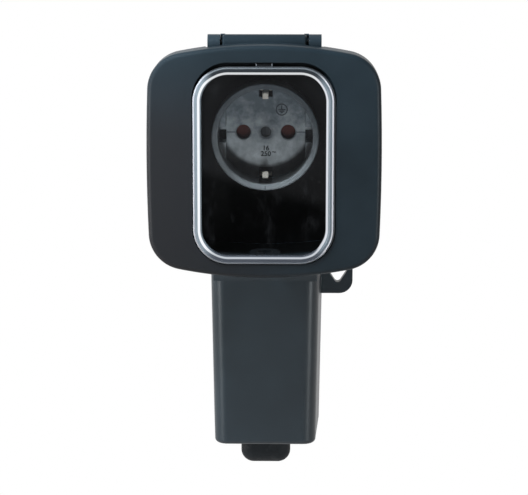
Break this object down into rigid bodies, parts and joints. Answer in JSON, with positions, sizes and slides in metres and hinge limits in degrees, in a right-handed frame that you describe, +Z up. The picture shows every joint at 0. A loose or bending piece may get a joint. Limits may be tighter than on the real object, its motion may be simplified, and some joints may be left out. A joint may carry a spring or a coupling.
{
  "type": "outdoor weatherproof socket",
  "caption": "Wall-mounted weatherproof earthed power socket with a squarish top-hinged lid, clear window, tapered lower housing and rubber cable entry.",
  "frame": {"origin": "middle of the four wall screws, on the wall face of the back plate", "axes": "+Z up, +Y into the wall, so the front faces -Y and +X is to the right for a person facing it"},
  "size_m": [0.095, 0.0722, 0.1891],
  "materials": {
    "housing": "fine satin texture",
    "lid": "fine satin texture",
    "plate": "matt",
    "clear": "clear and glossy",
    "outlet": "satin",
    "insulator": "matt",
    "shutter": "satin",
    "brass": "bright",
    "nickel": "bright nickel",
    "steel": "zinc plated",
    "hinge_steel": "stainless",
    "rubber": "matt",
    "block": "natural nylon"
  },
  "bodies": {
    "base": {"housing": "housing", "back_plate": "plate", "socket_face": "outlet", "socket_base": "insulator", "cord_clamp": "insulator", "contact_left": "brass", "contact_right": "brass", "block_tubes": "brass", "earth_clip": "nickel", "shutter_spring": "nickel", "housing_screws": "steel", "centre_screw": "steel", "terminal_screws": "steel", "insert_screws": "steel", "block_screws": "steel", "clamp_screws": "steel", "hinge_pin": "hinge_steel", "hinge_spring": "hinge_steel", "housing_gasket": "rubber", "insert_gasket": "rubber", "cable_boot": "rubber", "cord_seal": "rubber", "terminal_block": "block"},
    "lid": {"lid": "lid", "window": "clear", "window_gasket": "rubber", "lid_seal": "rubber"},
    "shutter": {"shutter": "shutter"}
  },
  "joints": [
    {"name": "lid_hinge", "type": "hinge", "parent": "base", "child": "lid", "pos_m": [0, -0.056, 0.088], "axis": [-1, 0, 0], "range_deg": [0, 115], "stiffness_Nm_per_rad": 0.04, "springref_deg": -34.38, "deforming": ["hinge_spring"]},
    {"name": "shutter_turn", "type": "hinge", "parent": "base", "child": "shutter", "pos_m": [0, -0.0189, 0.0478], "axis": [0, 1, 0], "range_deg": [0, 42], "stiffness_Nm_per_rad": 0.002, "springref_deg": -17.19, "deforming": ["shutter_spring"]}
  ]
}
